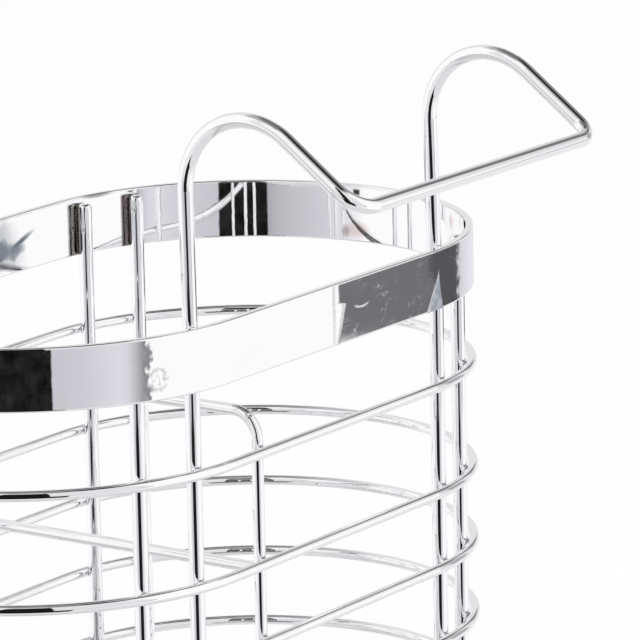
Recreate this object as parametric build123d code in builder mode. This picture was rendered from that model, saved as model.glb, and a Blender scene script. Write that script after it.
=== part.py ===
# Cutlery drainer: a chrome plated wire basket with a flat bar rim and a hook that hangs it on a rail.
#
# Frame: the origin is the centre of the basket's foot, on the plane that it stands on. X runs along
# the basket, +Z is up, and the hook is on the -Y side. All sizes are millimetres.
from build123d import *
from math import cos, radians, sin, sqrt, tan
import os

os.makedirs("parts", exist_ok=True)

# The basket: a straight sided oval, measured over the outside of the rim, and its height to the rim.
rim_length = 202.3
rim_width = 117.4
basket_height = 135.0

# Rim: a flat bar on edge.
band_height = 15.0
band_thickness = 2.0
band_edge_round = 0.5

# Wire sizes.
upright_diameter = 3.6
ring_diameter = 2.6
divider_diameter = 2.8

# Depth to which crossing wires melt into each other, and a wire into a flat or a butted face.
cross_weld_depth = 0.15
flat_weld_depth = 0.08

# Rings. The first two are stepped down from the top edge of the rim, to each wire's centre, and the
# lower ones share the height from there to the bends at the base.
first_ring_drop = 34.5
second_ring_step = 26.9
lower_ring_count = 3

# Uprights. Each crosses under the base and comes up again on the far side. They stand on the rounded
# ends, each at its own distance past the end of the oval's straight side.
outer_upright_past = 24.35
top_end_drop = 1.5
end_round = 1.2
base_bend_radius = 12.0
ring_over_bend = 1.3
tail_below_ring = 4.0

# Hook: two arched arms and the cross bar between them, in one wire with two pairs of uprights.
hook_left_past = 9.55
hook_right_past = 6.85
hook_far_past = 9.05
hook_rise = 49.5
hook_arch_radius = 17.9
hook_slope = 37.0
hook_reach = 47.3
hook_left_corner_radius = 7.0
hook_right_corner_radius = 5.0

# The arms of the hook stand a little askew above the rim, as they do on the real one.
left_arm_lean = 1.2
right_arm_lean = 3.1
arm_lean_radius = 60.0

# Divider between the two compartments.
divider_x = -28.5
divider_top_drop = 25.5
divider_bend_radius = 6.5
divider_bar_step = 37.6

# Lengthwise wires that close the base. They are spread evenly over its flat.
base_wire_count = 7

# Places that follow from the sizes above. An inset is measured in from the outside of the rim.
upright_radius = upright_diameter / 2
ring_radius = ring_diameter / 2
divider_radius = divider_diameter / 2
half_width = rim_width / 2
end_centre_x = (rim_length - rim_width) / 2
upright_inset = band_thickness + upright_radius - flat_weld_depth
ring_inset = upright_inset - upright_radius - ring_radius + cross_weld_depth
divider_inset = ring_inset + ring_radius + divider_radius - cross_weld_depth

outer_upright_x = end_centre_x + outer_upright_past
hook_left_x = -end_centre_x - hook_left_past
hook_right_x = end_centre_x + hook_right_past
hook_far_x = end_centre_x + hook_far_past

rim_z = basket_height
first_ring_z = rim_z - first_ring_drop
second_ring_z = first_ring_z - second_ring_step
last_ring_z = upright_radius + base_bend_radius + ring_radius + ring_over_bend
lower_ring_step = (second_ring_z - last_ring_z) / lower_ring_count
upright_top_z = rim_z - top_end_drop
tail_z = last_ring_z - tail_below_ring


def oval_y(x, inset):
    """Half width of the oval at x, for an outline moved in by inset."""
    past_straight = max(abs(x) - end_centre_x, 0)
    return sqrt((half_width - inset) ** 2 - past_straight**2)


def oval_x(y, inset):
    """Half length of the oval at y, for an outline moved in by inset."""
    return end_centre_x + sqrt((half_width - inset) ** 2 - y**2)


def save(piece, name):
    piece.part.label = name
    export_step(piece.part, f"parts/{name}.step")


def bent_wire(name, points, radii, diameter, round_ends):
    """A wire along points, with a bend of each radius at the points between its ends."""
    with BuildPart() as wire:
        with BuildLine() as path:
            FilletPolyline(*points, radius=radii)
        with BuildSketch(Plane(origin=path.line @ 0, z_dir=path.line % 0)):
            Circle(diameter / 2)
        sweep()
        if round_ends:
            fillet(wire.faces().filter_by(GeomType.PLANE).edges(), end_round)
    save(wire, name)


def straight_wire(name, start, end, diameter):
    with BuildPart() as wire:
        with BuildLine() as path:
            Line(start, end)
        with BuildSketch(Plane(origin=start, z_dir=path.line % 0)):
            Circle(diameter / 2)
        sweep()
    save(wire, name)


def oval_wire(name, z, inset):
    """A ring wire bent to the oval and butt welded into one loop."""
    side_y = half_width - inset
    with BuildPart() as ring:
        with BuildLine(Plane.XY.offset(z)) as path:
            Line((-end_centre_x, -side_y), (end_centre_x, -side_y))
            CenterArc((end_centre_x, 0), side_y, -90, 180)
            Line((end_centre_x, side_y), (-end_centre_x, side_y))
            CenterArc((-end_centre_x, 0), side_y, 90, 180)
        with BuildSketch(Plane(origin=(0, -side_y, z), z_dir=(1, 0, 0))):
            Circle(ring_radius)
        sweep()
    save(ring, name)


# Rim band: the flat bar is bent to the oval on edge, and its ends are butt welded.
with BuildPart() as rim_band:
    with BuildSketch(Plane.XY.offset(rim_z - band_height)):
        SlotOverall(rim_length, rim_width)
        SlotOverall(rim_length - 2 * band_thickness, rim_width - 2 * band_thickness, mode=Mode.SUBTRACT)
    extrude(amount=band_height)
    band_edges = rim_band.faces().filter_by(Axis.Z).edges()
    fillet(band_edges, band_edge_round)
save(rim_band, "rim_band")

# Rings: the first two are set wide apart and the lower ones closer.
ring_heights = [first_ring_z]
for step in range(lower_ring_count + 1):
    ring_heights.append(second_ring_z - step * lower_ring_step)
for number, height in enumerate(ring_heights, start=1):
    oval_wire(f"ring_{number}", height, ring_inset)

# Hook wire: up the far side, under the base, up the near side, over and down to the cross bar, and
# back the same way. The slope of each arm is tangent to its arch, so one corner point makes the arch.
slope = radians(hook_slope)
arch_end_reach = hook_arch_radius * (1 + sin(slope))
arch_end_z = rim_z + hook_rise - hook_arch_radius * (1 - cos(slope))
arch_corner_z = arch_end_z + arch_end_reach * tan(slope)
cross_bar_z = arch_end_z - (hook_reach - arch_end_reach) * tan(slope)
arm_foot_z = rim_z - band_height

left_near_y = -oval_y(hook_left_x, upright_inset)
right_near_y = -oval_y(hook_right_x, upright_inset)
hook_far_y = oval_y(hook_far_x, upright_inset)
left_arch_x = hook_left_x - left_arm_lean
right_arch_x = hook_right_x - right_arm_lean
cross_bar_y = (left_near_y + right_near_y) / 2 - hook_reach

hook_points = [
    (-hook_far_x, hook_far_y, upright_top_z),
    (-hook_far_x, hook_far_y, upright_radius),
    (hook_left_x, left_near_y, upright_radius),
    (hook_left_x, left_near_y, arm_foot_z),
    (left_arch_x, left_near_y, arch_corner_z),
    (left_arch_x, cross_bar_y, cross_bar_z),
    (right_arch_x, cross_bar_y, cross_bar_z),
    (right_arch_x, right_near_y, arch_corner_z),
    (hook_right_x, right_near_y, arm_foot_z),
    (hook_right_x, right_near_y, upright_radius),
    (hook_far_x, hook_far_y, upright_radius),
    (hook_far_x, hook_far_y, upright_top_z),
]
side_radii = [base_bend_radius, base_bend_radius, arm_lean_radius, hook_arch_radius]
hook_radii = side_radii + [hook_left_corner_radius, hook_right_corner_radius] + side_radii[::-1]
bent_wire("hook_wire", hook_points, hook_radii, upright_diameter, round_ends=True)

# Cross wires: a plain U at each side, outside the hook wire.
outer_upright_y = oval_y(outer_upright_x, upright_inset)
for name, x in (("cross_wire_left", -outer_upright_x), ("cross_wire_right", outer_upright_x)):
    u_points = [
        (x, -outer_upright_y, upright_top_z),
        (x, -outer_upright_y, upright_radius),
        (x, outer_upright_y, upright_radius),
        (x, outer_upright_y, upright_top_z),
    ]
    bent_wire(name, u_points, [base_bend_radius, base_bend_radius], upright_diameter, round_ends=True)

# Divider: an arch from side to side inside the rings, with bars welded between its legs.
divider_y = half_width - divider_inset
divider_top_z = rim_z - divider_top_drop
divider_points = [
    (divider_x, -divider_y, tail_z),
    (divider_x, -divider_y, divider_top_z),
    (divider_x, divider_y, divider_top_z),
    (divider_x, divider_y, tail_z),
]
divider_radii = [divider_bend_radius, divider_bend_radius]
bent_wire("divider_arch", divider_points, divider_radii, divider_diameter, round_ends=False)

bar_end_y = divider_y - divider_radius + flat_weld_depth
for name, steps in (("divider_bar_upper", 1), ("divider_bar_lower", 2)):
    bar_z = divider_top_z - steps * divider_bar_step
    straight_wire(name, (divider_x, -bar_end_y, bar_z), (divider_x, bar_end_y, bar_z), divider_diameter)

# Base: lengthwise wires lie across the runs of the uprights, and a ring lies on the wires' ends and
# against the inside of the hook wire's bends.
base_wire_z = upright_diameter + ring_radius - cross_weld_depth
base_ring_z = base_wire_z + ring_diameter - cross_weld_depth
bend_centre_z = upright_radius + base_bend_radius
bend_to_ring = base_bend_radius - upright_radius - ring_radius + cross_weld_depth
ring_from_bend_centre = sqrt(bend_to_ring**2 - (bend_centre_z - base_ring_z) ** 2)
base_ring_inset = upright_inset + base_bend_radius - ring_from_bend_centre
oval_wire("base_ring", base_ring_z, base_ring_inset)

base_flat_y = outer_upright_y - base_bend_radius
base_wire_step = 2 * base_flat_y / (base_wire_count - 1)
for number in range(base_wire_count):
    y = number * base_wire_step - base_flat_y
    end_x = oval_x(y, base_ring_inset)
    left_end = (-end_x, y, base_wire_z)
    right_end = (end_x, y, base_wire_z)
    straight_wire(f"base_wire_{number + 1}", left_end, right_end, ring_diameter)
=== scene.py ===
import math
import random

import bmesh
import bpy
from mathutils import Matrix, Vector


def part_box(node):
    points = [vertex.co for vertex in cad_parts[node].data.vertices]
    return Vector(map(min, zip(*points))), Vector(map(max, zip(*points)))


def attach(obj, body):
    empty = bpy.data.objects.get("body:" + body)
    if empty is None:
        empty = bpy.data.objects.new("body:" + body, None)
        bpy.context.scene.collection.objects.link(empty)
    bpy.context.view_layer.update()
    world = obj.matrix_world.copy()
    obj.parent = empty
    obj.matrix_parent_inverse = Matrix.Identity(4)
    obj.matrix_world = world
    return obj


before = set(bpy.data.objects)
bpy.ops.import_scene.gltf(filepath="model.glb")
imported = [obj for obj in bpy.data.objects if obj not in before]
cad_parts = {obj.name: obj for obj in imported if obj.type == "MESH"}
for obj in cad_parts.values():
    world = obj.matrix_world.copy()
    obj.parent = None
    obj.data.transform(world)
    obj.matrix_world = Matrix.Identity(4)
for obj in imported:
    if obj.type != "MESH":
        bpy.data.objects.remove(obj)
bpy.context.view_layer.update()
scene = bpy.context.scene
MM = 0.001

# Sizes that the frame's boxes don't give. The basket is a straight sided oval on the origin.
BAND_THICKNESS = 2.0 * MM
UPRIGHT_RADIUS = 1.8 * MM
DIVIDER_RADIUS = 1.4 * MM
HOOK_LEGS_NEAR_X = (-52.0 * MM, 49.3 * MM)
HOOK_LEGS_FAR_X = (-51.5 * MM, 51.5 * MM)
RING_COUNT = 5

# A weld bead's half sizes outward, along the ring and upward, and how much beads and their skin vary.
BEAD_HALF_SIZES = (0.55 * MM, 1.25 * MM, 1.05 * MM)
BEAD_SIZE_RANGE = (0.85, 1.1)
BEAD_WOBBLE = 0.10
BEAD_SEED = 4

# The photograph's camera, solved from the rim and the rings.
FRAME_PX = 640
FOCAL_PX = 5296.7
SENSOR_MM = 36.0
CAMERA_AT = Vector((-1003.9, -751.5, 408.5)) * MM
HEADING = math.radians(55.212)
TILT = math.radians(13.020)
ROLL = math.radians(-1.122)

# The floor, the share of plain white in its look, and the one lamp, which shines at the basket's middle.
FLOOR_RADIUS = 30.0
FLOOR_COLOUR = (0.97, 0.97, 0.97, 1.0)
FLOOR_GLOW = 0.84
WHITE = (1.0, 1.0, 1.0, 1.0)
LAMP_AT = (-0.4, -0.5, 1.6)
LAMP_TARGET = (0.0, 0.0, 0.08)
LAMP_SIZE = 1.2
LAMP_POWER = 6.0
WORLD_LIGHT = 0.85

# Each plating's shade where it is lightest and darkest, its roughness from low to high, and how
# strong its bumps are.
WIRE_CHROME = {
    "light": (0.985, 0.985, 0.99),
    "dark": (0.95, 0.955, 0.965),
    "roughness": (0.012, 0.035),
    "bumps": 0.02,
}
BAND_CHROME = {
    "light": (0.985, 0.985, 0.99),
    "dark": (0.955, 0.958, 0.965),
    "roughness": (0.012, 0.03),
    "bumps": 0.35,
}
WELD_CHROME = {
    "light": (0.55, 0.55, 0.57),
    "dark": (0.30, 0.30, 0.32),
    "roughness": (0.18, 0.4),
    "bumps": 0.4,
}
WAVER_DEPTH = 0.1 * MM
MARK_DEPTH = 0.08 * MM

# How fine each noise is, a larger number giving a finer one, and how some are squeezed along the axes.
SHADE_GRAIN = 60.0
GLOSS_GRAIN = 240.0
WAVER_GRAIN = 90.0
RAGGED_GRAIN = 900.0
RIPPLE_GRAIN = 420.0
LINE_GRAIN = 500.0
BREAK_GRAIN = 700.0
BLOTCH_GRAIN = 230.0
SMEAR_GRAIN = 170.0
SMEAR_PATCH_GRAIN = 120.0
SMOKE_GRAIN = 260.0
THINGS_GRAIN = 12.0
THINGS_TINT_GRAIN = 5.0
GLOSS_SQUEEZE = (1.0, 1.0, 0.4)
RAGGED_SQUEEZE = (30.0, 30.0, 1.0)
SMEAR_SQUEEZE = (1.0, 1.0, 1.6)
THINGS_SQUEEZE = (1.0, 1.0, 45.0)

# A face of the bar is turned to the near side, or inward at the +X end, where its normal's Y or X is
# below these.
FORWARD_BELOW = -0.02
INWARD_BELOW = -0.5

# Marks on the bar, all in millimetres. An oval is its middle along the bar and up, and its half sizes.
NICKS = ((19.0, 131.0, 1.1, 0.7), (20.6, 128.7, 0.9, 0.7), (7.2, 121.3, 0.5, 0.5))
NICK_STRENGTH = 0.7
SPATTER = ((-64.9, 125.0, 2.3, 2.7), (-65.3, 124.7, 1.1, 1.3))
SPATTER_COLOUR = (0.42, 0.42, 0.42)
SPATTER_STRENGTH = 0.55
SCRAPE_MIDDLE = (11.2, 127.6)
SCRAPE_ENDS = (8.2, 13.4)
SCRAPE_BOW = 0.055
SCRAPE_HALF_WIDTH = 0.12
SMEARS_FROM_X = 3.0

# How far noise moves the drawn lines along the bar and up, the smoke's outline and the bend's edge.
LINE_SWING = 4.5
LINE_RAGGED = 1.5
SMOKE_SWING = 5.0
SEAM_RAGGED = 2.0

# How much of the metal the dirt and marks hide, how rough they make it, and how high the relief is.
FILM = {"blotches": 0.009, "smears": 0.04, "marks": 0.12}
DULLNESS = {"plume": 0.10, "crease": 0.12, "scratches": 0.08, "smears": 0.05}
RELIEF = {"scrape": 0.1, "groove": -0.6}

# The bar bends past its butt weld, from and to. Between the wedge's bottom and its top the bend starts
# further right the higher it is. A grey streak follows its left edge, and a groove lies left of it.
SEAM_BEND = (0.5, 2.2)
SEAM_TILT = 0.028
SEAM_GROOVE = (-1.0, -0.3)
WEDGE_BOTTOM = 121.0
WEDGE_TOP = 129.9
WEDGE_SLOPE = 0.34
STREAK = (0.5, 1.3)
STREAK_LEAN = 0.8
STREAK_TOP = 130.4
STREAK_COLOUR = (0.38, 0.38, 0.39)
STREAK_STRENGTH = 0.6

# The crease at the bar's right bend is a triangle with hollow sides, and a flank bulges left of its
# tip. Its colour is painted shade, strongest where the film of dirt is: there it is weakest plus
# mottle strong.
CREASE_TIP = (44.6, 130.6)
CREASE_LEAN = 0.20
CREASE_HEIGHT = 11.7
CREASE_HALF_WIDTH = 4.3
CREASE_HOLLOW = 1.3
CREASE_TILT = 0.115
CREASE_PAINTED_SHADE = (0.16, 0.20, 0.26)
CREASE_WEAKEST = 0.50
CREASE_MOTTLE = 0.35
FLANK = (42.8, 131.5, 4.8, 5.2)
FLANK_TILT = 0.03

# The bar's ripples, and its two bends, where they are strongest: from, to, and how soft the ends are.
RIPPLE_TILT = 0.010
BEND_TILT = 0.110
BENDS = ((-68.4, -65.6, 0.5), (48.0, 60.0, 2.0))

# The plume stain inside the far side: its ovals, with how soft and how strong each is, and its tail.
PLUME = (
    ((18.3, 126.7, 8.6, 4.2), 0.45, 0.88),
    ((24.8, 126.2, 5.6, 3.2), 0.50, 0.86),
    ((17.5, 129.3, 10.5, 6.8), 0.80, 0.76),
    ((17.8, 123.2, 14.0, 3.2), 0.70, 0.52),
)
PLUME_TAIL = (27.0, 127.6, 7.4, 1.15)
PLUME_TAIL_SLOPE = 0.36
PLUME_COLOUR = (0.035, 0.070, 0.115)
PLUME_STRENGTH = 0.93

# The other marks there: a stain on the top edge, and dark patches of painted reflection at two
# uprights' welds, from and to along the bar, up to a height, with its colour.
EDGE_STAIN = (57.3, 134.9, 6.0, 1.1)
EDGE_STAIN_COLOUR = (0.20, 0.20, 0.22)
EDGE_STAIN_STRENGTH = 0.80
WELD_PAINTED_REFLECTIONS = (
    (47.4, 53.0, 133.5, (0.33, 0.315, 0.285)),
    (64.3, 68.8, 133.6, (0.22, 0.185, 0.18)),
)
BELOW_THE_BAR = 100.0

# Tarnish inside the +X end: ovals across and up, how soft each is, and its colour. Above it, a small
# near-black block.
END_FROM_X = 90.0
TARNISH = (
    ((2.4, 123.2, 4.6, 2.8), 0.5, (0.80, 0.71, 0.69)),
    ((5.9, 122.6, 1.6, 2.2), 0.6, (0.56, 0.47, 0.44)),
)
BLACK_BLOCK_ACROSS = (1.6, 3.5)
BLACK_BLOCK_UP = (132.4, 133.9)
BLACK_BLOCK_COLOUR = (0.06, 0.06, 0.06)
BLOCK_EDGE = 0.35

# What the plating mirrors, round the compass from the +X axis towards +Y, in degrees, and how bright
# it is. The upright faces in the photograph mirror what is 10 to 16 degrees below the horizon, in this
# strip of the studio.
STUDIO_STRIP = (
    (-180, 0.575),
    (-171, 0.53),
    (-165, 0.485),
    (-160.8, 0.41),
    (-133.0, 0.58),
    (-118, 0.62),
    (-101, 0.73),
    (-97, 0.68),
    (-92.8, 0.49),
    (-88.8, 0.275),
    (-87.2, 0.23),
    (-86.8, 1.0),
    (-33.4, 1.0),
    (-32.8, 0.170),
    (-30.2, 0.165),
    (-28.8, 0.128),
    (-27.5, 0.092),
    (-7.4, 0.085),
    (-3.6, 0.62),
    (0, 0.69),
    (13, 0.79),
    (60, 0.86),
    (85, 1.0),
    (146, 1.0),
    (156, 0.78),
    (163, 0.72),
    (169, 0.635),
    (180, 0.575),
)
STRIP_HEIGHTS = (-19.0, -7.0)
STRIP_TINT = (0.995, 1.06)

# The rest of the studio: from and to round the compass, from and to above the horizon, and how bright.
# Each stretch covers the ones before it.
STUDIO_PATCHES = (
    (-200, 200, -95, -40, 0.74),
    (-200, 200, -40, -19, 0.84),
    (-200, 200, 56, 95, 0.46),
    (-200, 200, 70, 95, 0.20),
    (155, 200, 20, 52, 0.96),
    (-200, -157, 38, 66, 0.96),
    (-50, 52, 48, 76, 0.13),
    (-134, -112, 61, 80, 0.24),
    (-108, -32, 60, 80, 0.03),
    (-54, -12, 55, 78, 0.03),
    (-89, -34, -34, 55, 1.0),
    (84, 146, -14, 52, 1.0),
    (-19, 12, 27, 46, 0.19),
    (2, 17, 7, 30, 0.26),
    (10, 32, 28, 48, 0.50),
    (105, 150, -62, -18, 0.57),
    (-27, -9, -6, 23, 0.42),
    (-160, -136, 48, 72, 0.60),
    (152, 172, -10, 8, 0.60),
)
ROOM_COLOUR = (0.78, 0.78, 0.79)
ROOM_TINT = (1.0, 1.02)

# Pale stretches over the strip, below and above its dark things beside the large light. They keep
# those things off most of the wires and leave them on the bar. The columns are those of the patches.
STRIP_LIMITS = (
    (-32.2, 62, -20, -13.25, 0.92),
    (-32.2, 62, -12.0, -7, 0.90),
    (-101, -85, -20, -14.0, 0.86),
)

# The dark gap with the camera: from and to round the compass, and from and to above the horizon. The
# things in it are faint and of two tints.
CAMERA_GAP = (
    (-160.3, -135.2, -12.9, 53.0),
    (-160.3, -132.6, -14.5, -12.6),
    (-171.0, -126.0, -42.0, -14.1),
)
GAP_COLOUR = (0.003, 0.003, 0.003)
THINGS_COLOURS = ((0.026, 0.034, 0.028), (0.035, 0.029, 0.031))

# How soft the ends of a stretch are, round the compass and in height, in degrees.
STRIP_EDGE = 1.5
PATCH_EDGES = (2.5, 4.0)
LIMIT_EDGES = (1.0, 0.1)
GAP_EDGES = (0.5, 0.1)


def make_camera():
    """The view looks along HEADING, turned from +Y towards +X, and TILT below the horizon."""
    level = math.cos(TILT)
    look = Vector((math.sin(HEADING) * level, math.cos(HEADING) * level, -math.sin(TILT)))
    level_right = look.cross(Vector((0, 0, 1))).normalized()
    level_up = level_right.cross(look)
    right = level_right * math.cos(ROLL) + level_up * math.sin(ROLL)
    up = level_up * math.cos(ROLL) - level_right * math.sin(ROLL)
    data = bpy.data.cameras.new("camera")
    data.sensor_width = SENSOR_MM
    data.lens = FOCAL_PX / FRAME_PX * SENSOR_MM
    data.clip_start = 0.05
    data.clip_end = 100
    camera = bpy.data.objects.new("camera", data)
    scene.collection.objects.link(camera)
    turn = Matrix((right, up, -look)).transposed()
    camera.matrix_world = Matrix.Translation(CAMERA_AT) @ turn.to_4x4()
    scene.camera = camera


class Nodes:
    """A small helper that adds nodes to a tree and joins them."""

    def __init__(self, tree):
        self.tree = tree
        tree.nodes.clear()

    def add(self, kind, **values):
        node = self.tree.nodes.new(kind)
        for name, value in values.items():
            setattr(node, name, value)
        return node

    def put(self, value, socket):
        """Joins an output to an input, or sets the input to a plain value."""
        if isinstance(value, bpy.types.NodeSocket):
            self.tree.links.new(value, socket)
        else:
            socket.default_value = value

    def math(self, operation, *values):
        node = self.add("ShaderNodeMath", operation=operation)
        for value, socket in zip(values, node.inputs):
            self.put(value, socket)
        return node.outputs[0]

    def chain(self, operation, values):
        """Joins all the values by one operation."""
        total = values[0]
        for value in values[1:]:
            total = self.math(operation, total, value)
        return total

    def times(self, *values):
        return self.chain("MULTIPLY", values)

    def plus(self, *values):
        return self.chain("ADD", values)

    def most(self, *values):
        return self.chain("MAXIMUM", values)

    def minus(self, first, second):
        return self.math("SUBTRACT", first, second)

    def size(self, value):
        return self.math("ABSOLUTE", value)

    def mix(self, factor, first, second):
        """The first colour where factor is nought and the second where it is one."""
        node = self.add("ShaderNodeMix", data_type="RGBA")
        self.put(factor, node.inputs[0])
        for colour, socket in ((first, node.inputs[6]), (second, node.inputs[7])):
            self.put((*colour, 1.0) if isinstance(colour, tuple) else colour, socket)
        return node.outputs[2]

    def blend(self, factor, first, second):
        """The same for two shaders."""
        node = self.add("ShaderNodeMixShader")
        for value, socket in zip((factor, first, second), node.inputs):
            self.put(value, socket)
        return node.outputs[0]

    def climb(self, value, start, end, shape="LINEAR"):
        """Nought up to start and one from end."""
        node = self.add("ShaderNodeMapRange", interpolation_type=shape)
        self.put(value, node.inputs["Value"])
        node.inputs["From Min"].default_value = start
        node.inputs["From Max"].default_value = end
        return node.outputs[0]

    def above(self, value, limit, soft):
        """One above the limit and nought below it, with a soft edge."""
        return self.climb(value, limit - soft, limit + soft, "SMOOTHSTEP")

    def below(self, value, limit, soft):
        return self.minus(1.0, self.above(value, limit, soft))

    def window(self, value, low, high, soft):
        """One between low and high, and nought outside, with soft edges."""
        return self.times(self.above(value, low, soft), self.below(value, high, soft))

    def between(self, value, low, high):
        """Nought to one becomes low to high."""
        node = self.add("ShaderNodeMapRange")
        self.put(value, node.inputs["Value"])
        node.inputs["To Min"].default_value = low
        node.inputs["To Max"].default_value = high
        return node.outputs[0]

    def noise(self, vector, grain, detail=3.0, roughness=0.5):
        node = self.add("ShaderNodeTexNoise")
        self.put(vector, node.inputs["Vector"])
        node.inputs["Scale"].default_value = grain
        node.inputs["Detail"].default_value = detail
        node.inputs["Roughness"].default_value = roughness
        return node.outputs["Fac"]

    def signed_noise(self, vector, grain, detail=3.0):
        """Noise that swings to both sides of nought."""
        return self.minus(self.noise(vector, grain, detail), 0.5)

    def place(self, squeeze=(1.0, 1.0, 1.0)):
        """Object coordinates. Noise on them comes out squeezed by as much along each axis."""
        coordinates = self.add("ShaderNodeTexCoord")
        mapping = self.add("ShaderNodeMapping")
        mapping.inputs["Scale"].default_value = squeeze
        self.put(coordinates.outputs["Object"], mapping.inputs["Vector"])
        return mapping.outputs[0]

    def split(self, vector):
        """The X, Y and Z of a vector."""
        node = self.add("ShaderNodeSeparateXYZ")
        self.put(vector, node.inputs[0])
        return node.outputs

    def ramp(self, value, stops):
        """Colours along nought to one, each stop a place and a colour."""
        node = self.add("ShaderNodeValToRGB")
        elements = node.color_ramp.elements
        while len(elements) < len(stops):
            elements.new(1.0)
        for element, (position, colour) in zip(elements, stops):
            element.position = position
            element.color = (*colour, 1.0)
        self.put(value, node.inputs[0])
        return node.outputs[0]


def cool(level, tint):
    """A grey with a tint: how much green and how much blue it has, as shares of its red."""
    green, blue = tint
    return (level, level * green, min(1.0, level * blue))


class Chrome:
    """Bright plating whose shade and gloss waver a little."""

    def __init__(self, name, light, dark, roughness, bumps):
        self.material = bpy.data.materials.new(name)
        self.material.use_nodes = True
        self.nodes = nodes = Nodes(self.material.node_tree)
        self.shader = nodes.add("ShaderNodeBsdfPrincipled")
        output = nodes.add("ShaderNodeOutputMaterial")
        nodes.put(self.shader.outputs[0], output.inputs[0])
        self.shader.inputs["Metallic"].default_value = 1.0
        self.shade = nodes.mix(nodes.noise(nodes.place(), SHADE_GRAIN), light, dark)
        self.roughness = nodes.between(nodes.noise(nodes.place(GLOSS_SQUEEZE), GLOSS_GRAIN), *roughness)
        self.bump = nodes.add("ShaderNodeBump")
        self.bump.inputs["Strength"].default_value = bumps
        nodes.put(self.bump.outputs[0], self.shader.inputs["Normal"])

    def dress(self, shade, roughness, relief, depth):
        """Puts the shade, the roughness and the relief on the shader, and returns the material."""
        self.nodes.put(shade, self.shader.inputs["Base Color"])
        self.nodes.put(roughness, self.shader.inputs["Roughness"])
        self.nodes.put(relief, self.bump.inputs["Height"])
        self.bump.inputs["Distance"].default_value = depth
        return self.material


class BarPlace:
    """A point of the bar in millimetres, its normal, a ragged noise, and masks for the marked faces.

    The masks are the outside of the near side, the inside of the far side and the inside of the +X end.
    """

    def __init__(self, nodes):
        coordinates = nodes.add("ShaderNodeTexCoord")
        along = nodes.split(coordinates.outputs["Object"])
        self.x, self.y, self.z = [nodes.times(along[axis], 1.0 / MM) for axis in "XYZ"]
        self.normal = nodes.add("ShaderNodeNewGeometry").outputs["Normal"]
        facing = nodes.split(self.normal)
        forward = nodes.math("LESS_THAN", facing["Y"], FORWARD_BELOW)
        inward = nodes.math("LESS_THAN", facing["X"], INWARD_BELOW)
        self.near = nodes.times(nodes.math("LESS_THAN", self.y, 0.0), forward)
        self.far = nodes.times(nodes.math("GREATER_THAN", self.y, 0.0), forward)
        self.end = nodes.times(nodes.math("GREATER_THAN", self.x, END_FROM_X), inward)
        self.ragged = nodes.signed_noise(nodes.place(RAGGED_SQUEEZE), RAGGED_GRAIN, detail=4.0)


def away(nodes, across, up, oval, slope=0.0):
    """Nought in the middle of an oval on the bar and one on its edge. The oval may lean by slope."""
    middle_across, middle_up, half_across, half_up = oval
    from_middle = nodes.minus(across, middle_across)
    rise = nodes.minus(nodes.minus(up, middle_up), nodes.times(from_middle, slope))
    sideways = nodes.math("DIVIDE", from_middle, half_across)
    upward = nodes.math("DIVIDE", rise, half_up)
    return nodes.plus(nodes.times(sideways, sideways), nodes.times(upward, upward))


def spot(nodes, across, up, oval, edge, slope=0.0):
    """An oval mark, one in its middle and nought outside."""
    return nodes.below(away(nodes, across, up, oval, slope), 1.0 - edge, edge)


def curls(nodes, across, up, ovals):
    """The outlines of some ovals."""
    places = [away(nodes, across, up, oval) for oval in ovals]
    return nodes.most(*[nodes.window(place, low=0.5, high=1.1, soft=0.25) for place in places])


def block(nodes, across, left, right, up, bottom, top):
    """A mark with straight sides."""
    return nodes.times(
        nodes.window(across, left, right, BLOCK_EDGE),
        nodes.window(up, bottom, top, BLOCK_EDGE),
    )


def seam_wedge(nodes, bar):
    """How much further right the bend past the butt weld starts."""
    rise = nodes.math("MAXIMUM", nodes.minus(bar.z, WEDGE_BOTTOM), 0.0)
    return nodes.times(rise, WEDGE_SLOPE, nodes.below(bar.z, WEDGE_TOP, soft=0.5))


def seam_streak(nodes, bar, wedge):
    """A grey streak along the left edge of the bend."""
    streak = nodes.window(nodes.minus(bar.x, nodes.times(wedge, STREAK_LEAN)), *STREAK, soft=0.4)
    return nodes.times(streak, nodes.below(bar.z, STREAK_TOP, soft=0.4), bar.near)


def seam_groove(nodes, bar):
    return nodes.times(nodes.window(nodes.plus(bar.x, bar.ragged), *SEAM_GROOVE, soft=0.25), bar.near)


def crease_mask(nodes, bar):
    """A narrow triangle with hollow sides, and its tip is up."""
    tip_x, tip_z = CREASE_TIP
    down = nodes.math("MAXIMUM", nodes.minus(tip_z, bar.z), 0.0)
    middle = nodes.minus(tip_x, nodes.times(down, CREASE_LEAN))
    beside = nodes.size(nodes.minus(nodes.plus(bar.x, bar.ragged), middle))
    widening = nodes.math("POWER", nodes.math("DIVIDE", down, CREASE_HEIGHT), CREASE_HOLLOW)
    half_width = nodes.times(widening, CREASE_HALF_WIDTH)
    inside = nodes.above(nodes.minus(half_width, beside), limit=0.05, soft=0.3)
    return nodes.times(inside, bar.near)


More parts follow.
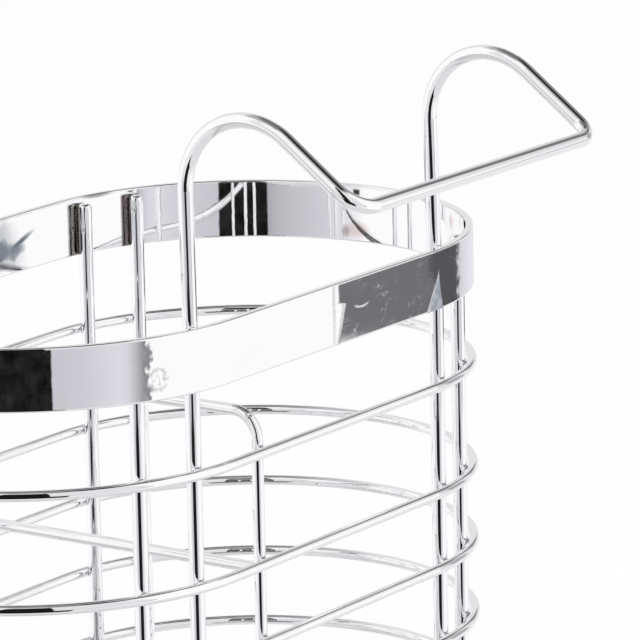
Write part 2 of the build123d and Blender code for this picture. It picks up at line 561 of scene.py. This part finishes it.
def bent_normal(nodes, bar, wedge, crease):
    """The bar leans in X past the butt weld and in the crease, and it has slight ripples."""
    seam = nodes.plus(nodes.minus(bar.x, wedge), nodes.times(bar.ragged, SEAM_RAGGED))
    kink = nodes.times(nodes.climb(seam, *SEAM_BEND), SEAM_TILT)
    flank = nodes.times(spot(nodes, bar.x, bar.z, FLANK, edge=0.6), FLANK_TILT)
    bends = nodes.most(*[nodes.window(bar.x, *bend) for bend in BENDS])
    strength = nodes.plus(RIPPLE_TILT, nodes.times(bends, BEND_TILT))
    ripples = nodes.times(nodes.signed_noise(nodes.place(), RIPPLE_GRAIN), strength)
    tilt = nodes.times(nodes.plus(kink, flank), bar.near)
    tilt = nodes.minus(tilt, nodes.times(crease, CREASE_TILT))
    tilt = nodes.plus(tilt, ripples)
    push = nodes.add("ShaderNodeCombineXYZ")
    nodes.put(tilt, push.inputs[0])
    lean = nodes.add("ShaderNodeVectorMath", operation="ADD")
    nodes.put(bar.normal, lean.inputs[0])
    nodes.put(push.outputs[0], lean.inputs[1])
    even = nodes.add("ShaderNodeVectorMath", operation="NORMALIZE")
    nodes.put(lean.outputs[0], even.inputs[0])
    return even.outputs[0]


def near_marks(nodes, bar):
    """Curled nicks, a shallow scrape and weld spatter. Their lines waver and break."""
    swing = nodes.times(nodes.signed_noise(nodes.place(), LINE_GRAIN, detail=2.0), LINE_SWING)
    drawn_x = nodes.plus(bar.x, swing)
    drawn_z = nodes.plus(bar.z, nodes.times(bar.ragged, LINE_RAGGED))
    gaps = nodes.noise(nodes.place(), BREAK_GRAIN, detail=1.0)
    broken = nodes.above(gaps, limit=0.40, soft=0.08)
    nicks = nodes.times(curls(nodes, drawn_x, drawn_z, NICKS), broken, bar.near, NICK_STRENGTH)
    spatter = nodes.times(curls(nodes, drawn_x, drawn_z, SPATTER), broken, bar.near)
    middle_x, middle_z = SCRAPE_MIDDLE
    from_middle = nodes.minus(bar.x, middle_x)
    bow = nodes.times(from_middle, from_middle, SCRAPE_BOW)
    off = nodes.size(nodes.minus(nodes.minus(drawn_z, middle_z), bow))
    line = nodes.below(off, SCRAPE_HALF_WIDTH, soft=0.14)
    scrape = nodes.times(line, nodes.window(bar.x, *SCRAPE_ENDS, soft=1.2), bar.near)
    return nicks, scrape, spatter


def dirt(nodes, bar):
    """A thin film in blotches, and fine curled smears right of the butt weld."""
    cloud = nodes.noise(nodes.place(), BLOTCH_GRAIN, detail=4.0, roughness=0.6)
    blotches = nodes.above(cloud, limit=0.5, soft=0.14)
    from_contour = nodes.size(nodes.signed_noise(nodes.place(SMEAR_SQUEEZE), SMEAR_GRAIN))
    curled = nodes.below(from_contour, limit=0.010, soft=0.009)
    cover = nodes.noise(nodes.place(), SMEAR_PATCH_GRAIN, detail=1.0)
    patches = nodes.above(cover, limit=0.50, soft=0.06)
    right = nodes.math("GREATER_THAN", bar.x, SMEARS_FROM_X)
    return blotches, nodes.times(curled, patches, bar.near, right)


def plume_mask(nodes, bar):
    """The plume's outline drifts like smoke. Its tail is straight."""
    smoke = nodes.signed_noise(nodes.place(), SMOKE_GRAIN)
    drifting = nodes.plus(bar.z, nodes.times(smoke, SMOKE_SWING))
    parts = [spot(nodes, bar.x, bar.z, PLUME_TAIL, edge=0.55, slope=PLUME_TAIL_SLOPE)]
    for oval, edge, strength in PLUME:
        parts.append(nodes.times(spot(nodes, bar.x, drifting, oval, edge), strength))
    return nodes.times(nodes.most(*parts), bar.far)


def inside_stains_and_reflections(nodes, bar, shade, plume):
    """The plume, a stain on the top edge, painted reflection at two uprights' welds, and a tarnished end.
    """
    shade = nodes.mix(nodes.times(plume, PLUME_STRENGTH), shade, PLUME_COLOUR)
    edge_stain = spot(nodes, bar.x, nodes.plus(bar.z, bar.ragged), EDGE_STAIN, edge=0.5)
    shade = nodes.mix(nodes.times(edge_stain, bar.far, EDGE_STAIN_STRENGTH), shade, EDGE_STAIN_COLOUR)
    # Dark patches at two uprights' welds: painted reflection on the bar's colour.
    for left, right, top, colour in WELD_PAINTED_REFLECTIONS:
        painted_reflection = block(nodes, bar.x, left, right, bar.z, BELOW_THE_BAR, top)
        shade = nodes.mix(nodes.times(painted_reflection, bar.far), shade, colour)
    for oval, edge, colour in TARNISH:
        shade = nodes.mix(nodes.times(spot(nodes, bar.y, bar.z, oval, edge), bar.end), shade, colour)
    black_block = block(nodes, bar.y, *BLACK_BLOCK_ACROSS, bar.z, *BLACK_BLOCK_UP)
    return nodes.mix(nodes.times(black_block, bar.end), shade, BLACK_BLOCK_COLOUR)


def near_spatter_streak_and_crease_shade(nodes, shade, masks):
    """Grey spatter and a grey streak at the butt weld, and painted shade in the mottled crease."""
    shade = nodes.mix(nodes.times(masks["spatter"], SPATTER_STRENGTH), shade, SPATTER_COLOUR)
    shade = nodes.mix(nodes.times(masks["streak"], STREAK_STRENGTH), shade, STREAK_COLOUR)
    # The crease's blue-grey colour is painted shade.
    mottle = nodes.plus(CREASE_WEAKEST, nodes.times(masks["blotches"], CREASE_MOTTLE))
    return nodes.mix(nodes.times(masks["crease"], mottle), shade, CREASE_PAINTED_SHADE)


def weighted(nodes, masks, shares):
    """The sum of the masks that shares names, each times its share."""
    return nodes.plus(*[nodes.times(masks[name], share) for name, share in shares.items()])


def wavering_chrome(name, look):
    """Chrome whose surface wavers a little too."""
    chrome = Chrome(name, **look)
    waver = chrome.nodes.noise(chrome.nodes.place(), WAVER_GRAIN, detail=1.0)
    return chrome.dress(chrome.shade, chrome.roughness, waver, WAVER_DEPTH)


def wire_material():
    return wavering_chrome("wire_chrome", WIRE_CHROME)


def weld_material():
    """The squeezed out metal at a weld is duller than the wires."""
    return wavering_chrome("weld_chrome", WELD_CHROME)


def band_material():
    """The flat bar has dull marks, stains, painted reflection and painted shade, and a film of dirt, and
    its butt weld shows on the near side.
    """
    chrome = Chrome("band_chrome", **BAND_CHROME)
    nodes = chrome.nodes
    bar = BarPlace(nodes)
    wedge = seam_wedge(nodes, bar)
    nicks, scrape, spatter = near_marks(nodes, bar)
    marks = nodes.most(nicks, scrape)
    blotches, smears = dirt(nodes, bar)
    masks = {
        "scrape": scrape,
        "spatter": spatter,
        "marks": marks,
        "scratches": nodes.most(marks, spatter),
        "blotches": blotches,
        "smears": smears,
        "groove": seam_groove(nodes, bar),
        "streak": seam_streak(nodes, bar, wedge),
        "crease": crease_mask(nodes, bar),
        "plume": plume_mask(nodes, bar),
    }
    nodes.put(bent_normal(nodes, bar, wedge, masks["crease"]), chrome.bump.inputs["Normal"])
    nodes.put(nodes.minus(1.0, weighted(nodes, masks, FILM)), chrome.shader.inputs["Metallic"])
    shade = inside_stains_and_reflections(nodes, bar, chrome.shade, masks["plume"])
    shade = near_spatter_streak_and_crease_shade(nodes, shade, masks)
    roughness = nodes.plus(chrome.roughness, weighted(nodes, masks, DULLNESS))
    return chrome.dress(shade, roughness, weighted(nodes, masks, RELIEF), MARK_DEPTH)


def dress_nodes():
    wire = wire_material()
    band = band_material()
    for name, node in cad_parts.items():
        material = band if name == "rim_band" else wire
        node.data.materials.clear()
        node.data.materials.append(material)
        smooth(node.data)


def smooth(data):
    for face in data.polygons:
        face.use_smooth = True


class Oval:
    """The outline of the rim, from the flat bar's box."""

    def __init__(self):
        low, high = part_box("rim_band")
        self.half_width = (high.y - low.y) / 2
        self.straight_end = (high.x - low.x) / 2 - self.half_width

    def point(self, x, inset, side):
        """A point of the oval moved in by inset, at x, on the near side (-1) or the far side (1)."""
        past = max(abs(x) - self.straight_end, 0.0)
        return Vector((x, side * math.sqrt((self.half_width - inset) ** 2 - past**2), 0.0))

    def outward(self, point):
        """The level direction that points out of the oval at point."""
        centre_x = max(-self.straight_end, min(self.straight_end, point.x))
        return Vector((point.x - centre_x, point.y, 0.0)).normalized()


def add_bead(mesh, at, outward, along, size, rng):
    """A flattened drop of weld metal. Its three half sizes run outward, along the ring and upward."""
    turn = Matrix((outward, along, outward.cross(along))).transposed()
    made = bmesh.ops.create_uvsphere(mesh, u_segments=12, v_segments=8, radius=1.0)
    for vertex in made["verts"]:
        wobble = 1.0 + BEAD_WOBBLE * rng.uniform(-1.0, 1.0)
        spread = Vector((vertex.co.x * size[0], vertex.co.y * size[1], vertex.co.z * size[2]))
        vertex.co = at + turn @ (spread * wobble)


def posts(oval):
    """The middle and the radius of each upright and of the divider's two legs."""
    inset = BAND_THICKNESS + UPRIGHT_RADIUS
    outer_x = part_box("cross_wire_right")[1].x - UPRIGHT_RADIUS
    found = []
    for side, hook_legs_x in ((-1, HOOK_LEGS_NEAR_X), (1, HOOK_LEGS_FAR_X)):
        for x in (-outer_x, *hook_legs_x, outer_x):
            found.append((oval.point(x, inset, side), UPRIGHT_RADIUS))
    low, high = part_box("divider_arch")
    leg_y = high.y - DIVIDER_RADIUS
    for side in (-1, 1):
        found.append((Vector(((low.x + high.x) / 2, side * leg_y, 0.0)), DIVIDER_RADIUS))
    return found


def weld_beads():
    """A bead in each corner where a ring crosses an upright or a divider's leg."""
    rng = random.Random(BEAD_SEED)
    oval = Oval()
    crossed = posts(oval)
    thickness, length, height = BEAD_HALF_SIZES
    mesh = bmesh.new()
    for number in range(1, RING_COUNT + 1):
        low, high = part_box(f"ring_{number}")
        ring_height = Vector((0, 0, (low.z + high.z) / 2))
        for centre, radius in crossed:
            outward = oval.outward(centre)
            along = Vector((0, 0, 1)).cross(outward)
            at = centre + outward * radius + ring_height
            bead_length = length * rng.uniform(*BEAD_SIZE_RANGE)
            bead_height = height * rng.uniform(*BEAD_SIZE_RANGE)
            add_bead(mesh, at, outward, along, (thickness, bead_length, bead_height), rng)
    beads = link_mesh("weld_beads", mesh, weld_material())
    smooth(beads.data)
    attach(beads, "root")


def link_mesh(name, mesh, material):
    data = bpy.data.meshes.new(name)
    mesh.to_mesh(data)
    mesh.free()
    data.materials.append(material)
    made = bpy.data.objects.new(name, data)
    scene.collection.objects.link(made)
    return made


def floor_material():
    """A white floor that keeps a soft shadow."""
    material = bpy.data.materials.new("floor")
    material.use_nodes = True
    nodes = Nodes(material.node_tree)
    output = nodes.add("ShaderNodeOutputMaterial")
    diffuse = nodes.add("ShaderNodeBsdfDiffuse")
    diffuse.inputs[0].default_value = FLOOR_COLOUR
    glow = nodes.add("ShaderNodeEmission")
    glow.inputs[0].default_value = WHITE
    rays = nodes.add("ShaderNodeLightPath").outputs
    seen = nodes.most(rays["Is Camera Ray"], rays["Is Glossy Ray"], rays["Is Transmission Ray"])
    blend = nodes.blend(nodes.times(seen, FLOOR_GLOW), diffuse.outputs[0], glow.outputs[0])
    nodes.put(blend, output.inputs[0])
    return material


def make_floor():
    mesh = bmesh.new()
    bmesh.ops.create_circle(mesh, cap_ends=True, segments=96, radius=FLOOR_RADIUS)
    floor = link_mesh("floor", mesh, floor_material())
    floor.visible_glossy = False


def stretch(nodes, azimuth, height, bounds, edges):
    """One inside a stretch of the compass and of height, and nought outside."""
    left, right, low, high = bounds
    round_edge, height_edge = edges
    return nodes.times(
        nodes.window(azimuth, left, right, round_edge),
        nodes.window(height, low, high, height_edge),
    )


def camera_gap(nodes, direction):
    """What stands in the gap: nearly black, with faint things that are wider than they are high."""
    spread = nodes.add("ShaderNodeVectorMath", operation="MULTIPLY")
    nodes.put(direction, spread.inputs[0])
    spread.inputs[1].default_value = THINGS_SQUEEZE
    things = nodes.noise(spread.outputs[0], THINGS_GRAIN, detail=4.0, roughness=0.6)
    cloud = nodes.noise(spread.outputs[0], THINGS_TINT_GRAIN, detail=1.0)
    colour = nodes.mix(nodes.above(cloud, limit=0.5, soft=0.1), *THINGS_COLOURS)
    return nodes.mix(nodes.above(things, limit=0.58, soft=0.22), GAP_COLOUR, colour)


def mirrored_studio(nodes):
    """What the plating mirrors: a pale studio, its two large lights and the gap with the camera."""
    direction = nodes.add("ShaderNodeTexCoord").outputs["Generated"]
    towards = nodes.split(direction)
    turn = nodes.math("ARCTAN2", towards["Y"], towards["X"])
    azimuth = nodes.times(turn, 180 / math.pi)
    height = nodes.times(nodes.math("ARCSINE", towards["Z"]), 180 / math.pi)
    room = ROOM_COLOUR
    for *bounds, level in STUDIO_PATCHES:
        room = nodes.mix(stretch(nodes, azimuth, height, bounds, PATCH_EDGES), room, cool(level, ROOM_TINT))
    compass = nodes.plus(nodes.math("DIVIDE", turn, 2 * math.pi), 0.5)
    stops = [((degrees + 180) / 360, cool(level, STRIP_TINT)) for degrees, level in STUDIO_STRIP]
    strip = nodes.window(height, *STRIP_HEIGHTS, soft=STRIP_EDGE)
    room = nodes.mix(strip, room, nodes.ramp(compass, stops))
    for *bounds, level in STRIP_LIMITS:
        room = nodes.mix(stretch(nodes, azimuth, height, bounds, LIMIT_EDGES), room, cool(level, ROOM_TINT))
    gap = nodes.most(*[stretch(nodes, azimuth, height, bounds, GAP_EDGES) for bounds in CAMERA_GAP])
    return nodes.mix(gap, room, camera_gap(nodes, direction))


def make_world():
    """White for the eye, a plain level of light for surfaces, and the studio for what mirrors."""
    world = bpy.data.worlds.new("studio")
    scene.world = world
    world.use_nodes = True
    nodes = Nodes(world.node_tree)
    output = nodes.add("ShaderNodeOutputWorld")
    light, white, studio = [nodes.add("ShaderNodeBackground") for part in range(3)]
    for part in (light, white):
        part.inputs[0].default_value = WHITE
    light.inputs[1].default_value = WORLD_LIGHT
    nodes.put(mirrored_studio(nodes), studio.inputs[0])
    rays = nodes.add("ShaderNodeLightPath").outputs
    seen = nodes.most(rays["Is Camera Ray"], rays["Is Transmission Ray"])
    around = nodes.blend(seen, light.outputs[0], white.outputs[0])
    nodes.put(nodes.blend(rays["Is Glossy Ray"], around, studio.outputs[0]), output.inputs[0])


def make_lamp():
    data = bpy.data.lights.new("overhead_lamp", "AREA")
    data.shape = "DISK"
    data.size = LAMP_SIZE
    data.energy = LAMP_POWER
    lamp = bpy.data.objects.new("overhead_lamp", data)
    scene.collection.objects.link(lamp)
    lamp.location = LAMP_AT
    lamp.rotation_mode = "QUATERNION"
    lamp.rotation_quaternion = (Vector(LAMP_TARGET) - Vector(LAMP_AT)).to_track_quat("-Z", "Y")
    lamp.visible_glossy = False


make_camera()
make_world()
make_floor()
make_lamp()
dress_nodes()
weld_beads()
scene.view_settings.view_transform = "Standard"
